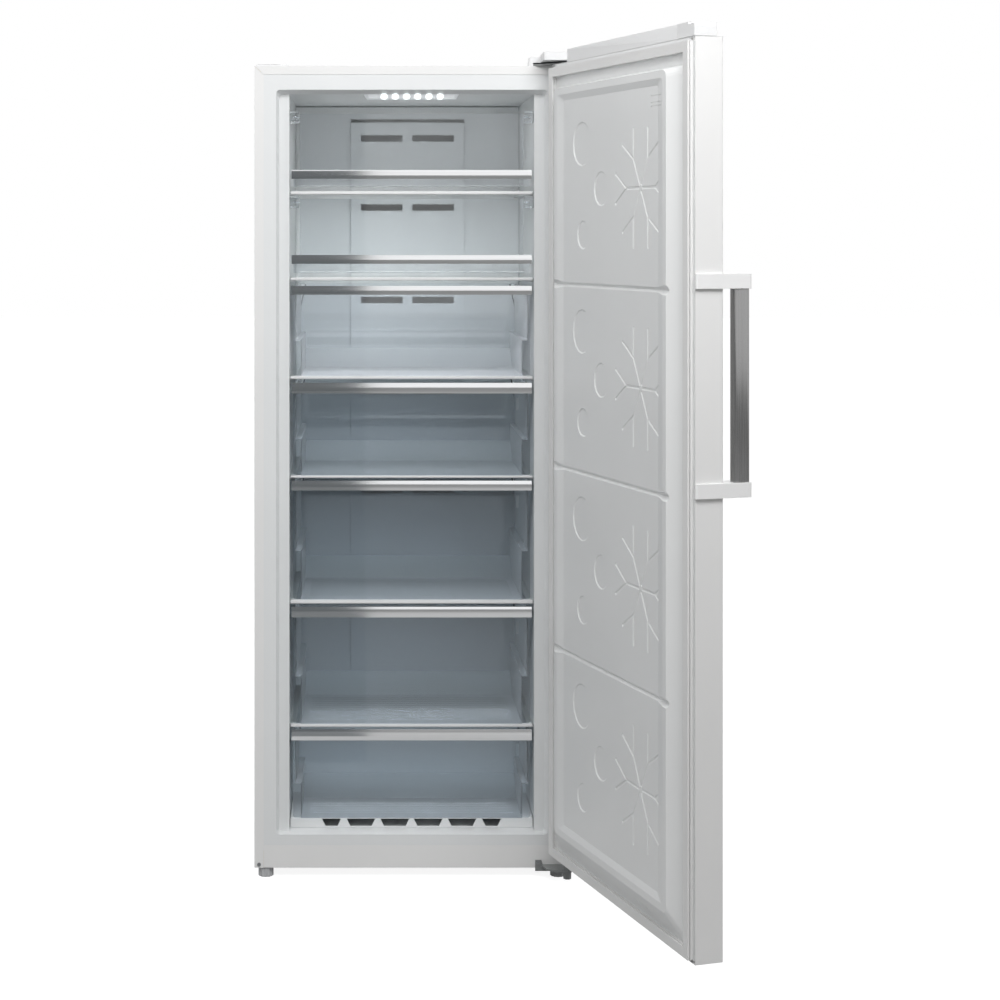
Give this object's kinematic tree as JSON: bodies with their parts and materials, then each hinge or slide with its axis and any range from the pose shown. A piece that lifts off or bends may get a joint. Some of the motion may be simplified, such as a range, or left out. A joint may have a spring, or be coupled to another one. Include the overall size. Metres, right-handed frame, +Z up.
{
  "type": "upright freezer",
  "caption": "Tall free-standing freezer with a side-hinged door, clear pull-out drawers below and clear flap compartments above, on levelling feet and rear rollers.",
  "frame": {"origin": "on the floor, in the middle of the cabinet's width, below its front edge", "axes": "+X to the right seen from the front, +Y from the front edge to the rear, +Z up"},
  "size_m": [0.9862, 1.3686, 1.854],
  "materials": {
    "white_steel": "white coated steel, satin, very fine grain",
    "white_plastic": "white moulded plastic, satin",
    "zinc_sheet": "zinc-coated sheet, matt",
    "white_liner": "white thermoformed plastic, soft gloss",
    "white_trim": "white moulded plastic, soft gloss",
    "foam": "rigid insulating foam",
    "dark_hinge_steel": "dark grey coated steel",
    "plated_steel": "zinc-plated steel",
    "dark_steel": "black-coated steel",
    "dark_plastic": "dark grey moulded plastic, fine grain",
    "clear_plastic": "clear moulded polystyrene",
    "shelf_glass": "toughened glass",
    "lamp_lens": "frosted lens",
    "bare_aluminium": "mill finish",
    "black_shell": "black enamelled steel shell",
    "copper": "bare copper tube",
    "white_seal": "soft off-white seal",
    "handle_metal": "brushed, anodised, mid grey",
    "grip_metal": "satin metallic strip"
  },
  "bodies": {
    "cabinet": {"cabinet_wrapper": "white_steel", "kick_plate": "white_steel", "back_panel": "zinc_sheet", "base_plate": "zinc_sheet", "machine_cover": "zinc_sheet", "inner_liner": "white_liner", "evaporator_cover": "white_liner", "air_return_cover": "white_liner", "shelf_trims": "white_trim", "cabinet_foam": "foam", "top_hinge_bracket": "dark_hinge_steel", "bottom_hinge_bracket": "dark_hinge_steel", "bottom_hinge_pin": "dark_steel", "top_hinge_cover": "white_plastic", "hinge_blank_cap": "white_plastic", "cabinet_screws": "plated_steel", "flap_brackets": "clear_plastic", "led_lens": "lamp_lens", "evaporator": "bare_aluminium", "condenser": "dark_steel", "compressor": "black_shell", "refrigerant_pipes": "copper", "drip_tray": "dark_plastic", "fan_motor": "dark_plastic", "cord_gland": "dark_plastic", "glass_shelf_1": "shelf_glass", "glass_shelf_2": "shelf_glass", "glass_shelf_3": "shelf_glass", "glass_shelf_4": "shelf_glass", "glass_shelf_5": "shelf_glass", "glass_shelf_6": "shelf_glass"},
    "door": {"door_skin": "white_steel", "door_liner": "white_liner", "door_foam": "foam", "door_gasket": "white_seal", "door_top_cap": "white_plastic", "door_top_cap_end": "white_plastic", "door_bushes": "white_trim", "handle_blocks": "white_plastic", "handle_bar": "handle_metal"},
    "drawer_1": {"drawer_1_bin": "clear_plastic", "drawer_1_strip": "grip_metal"},
    "drawer_2": {"drawer_2_bin": "clear_plastic", "drawer_2_strip": "grip_metal"},
    "drawer_3": {"drawer_3_bin": "clear_plastic", "drawer_3_strip": "grip_metal"},
    "drawer_4": {"drawer_4_bin": "clear_plastic", "drawer_4_strip": "grip_metal"},
    "drawer_5": {"drawer_5_bin": "clear_plastic", "drawer_5_strip": "grip_metal"},
    "flap_1": {"flap_1_panel": "clear_plastic", "flap_1_strip": "grip_metal"},
    "flap_2": {"flap_2_panel": "clear_plastic", "flap_2_strip": "grip_metal"},
    "fan": {"fan_blade": "white_trim"},
    "foot_left": {"foot_left": "dark_plastic"},
    "foot_right": {"foot_right": "dark_plastic"},
    "roller_left": {"roller_left": "dark_plastic"},
    "roller_right": {"roller_right": "dark_plastic"}
  },
  "joints": [
    {"name": "door_hinge", "type": "hinge", "parent": "cabinet", "child": "door", "pos_m": [0.345, -0.0446, 0], "axis": [0, 0, 1], "range_deg": [-107, 20]},
    {"name": "drawer_1_slide", "type": "slide", "parent": "cabinet", "child": "drawer_1", "axis": [0, -1, 0], "range_m": [0, 0.36]},
    {"name": "drawer_2_slide", "type": "slide", "parent": "cabinet", "child": "drawer_2", "axis": [0, -1, 0], "range_m": [0, 0.36]},
    {"name": "drawer_3_slide", "type": "slide", "parent": "cabinet", "child": "drawer_3", "axis": [0, -1, 0], "range_m": [0, 0.36]},
    {"name": "drawer_4_slide", "type": "slide", "parent": "cabinet", "child": "drawer_4", "axis": [0, -1, 0], "range_m": [0, 0.36]},
    {"name": "drawer_5_slide", "type": "slide", "parent": "cabinet", "child": "drawer_5", "axis": [0, -1, 0], "range_m": [0, 0.23]},
    {"name": "flap_1_hinge", "type": "hinge", "parent": "cabinet", "child": "flap_1", "pos_m": [0, 0.048, 1.714], "axis": [-1, 0, 0], "range_deg": [0, 85]},
    {"name": "flap_2_hinge", "type": "hinge", "parent": "cabinet", "child": "flap_2", "pos_m": [0, 0.048, 1.521], "axis": [-1, 0, 0], "range_deg": [0, 85]},
    {"name": "fan_spin", "type": "hinge", "parent": "cabinet", "child": "fan", "pos_m": [0, 0.497, 1.18], "axis": [0, 1, 0], "continuous": true},
    {"name": "foot_left_turn", "type": "hinge", "parent": "cabinet", "child": "foot_left", "pos_m": [-0.3295, 0.019, 0], "axis": [0, 0, 1], "continuous": true},
    {"name": "foot_right_turn", "type": "hinge", "parent": "cabinet", "child": "foot_right", "pos_m": [0.3295, 0.019, 0], "axis": [0, 0, 1], "continuous": true},
    {"name": "roller_left_spin", "type": "hinge", "parent": "cabinet", "child": "roller_left", "pos_m": [-0.3, 0.6, 0.015], "axis": [1, 0, 0], "continuous": true},
    {"name": "roller_right_spin", "type": "hinge", "parent": "cabinet", "child": "roller_right", "pos_m": [0.3, 0.6, 0.015], "axis": [1, 0, 0], "continuous": true}
  ]
}
